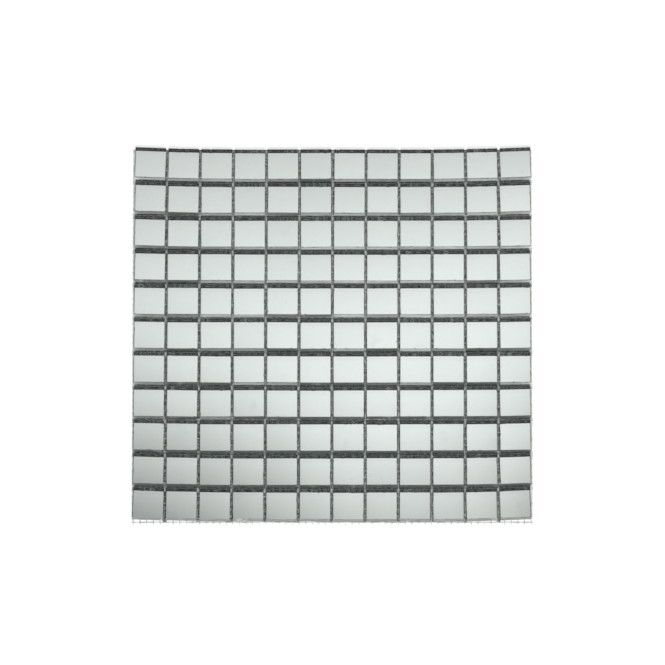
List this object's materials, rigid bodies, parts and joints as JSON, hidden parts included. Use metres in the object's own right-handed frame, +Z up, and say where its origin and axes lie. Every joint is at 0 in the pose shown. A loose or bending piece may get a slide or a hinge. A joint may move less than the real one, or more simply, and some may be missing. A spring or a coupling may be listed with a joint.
{
  "type": "mosaic tile sheet",
  "caption": "Flat sheet of square mirror-glass mosaic chips in straight rows, glued on an open fibreglass net with grout joints left between them",
  "frame": {"origin": "under the middle of the net's outline, on the surface that the sheet lies on", "axes": "+X along the rows of chips, +Y from the last row to the first, +Z up out of the glass faces"},
  "size_m": [0.3028, 0.2934, 0.0085],
  "materials": {
    "silvered_glass": "clear green-tinted glass, silvered on the back, with cut edges",
    "fibreglass_net": "white coated glass-fibre yarns"
  },
  "bodies": {
    "root": {"mesh_weft": "fibreglass_net", "mesh_warp": "fibreglass_net", "tile_row_01": "silvered_glass", "tile_row_02": "silvered_glass", "tile_row_03": "silvered_glass", "tile_row_04": "silvered_glass", "tile_row_05": "silvered_glass", "tile_row_06": "silvered_glass", "tile_row_07": "silvered_glass", "tile_row_08": "silvered_glass", "tile_row_09": "silvered_glass", "tile_row_10": "silvered_glass", "tile_row_11": "silvered_glass"}
  },
  "joints": []
}
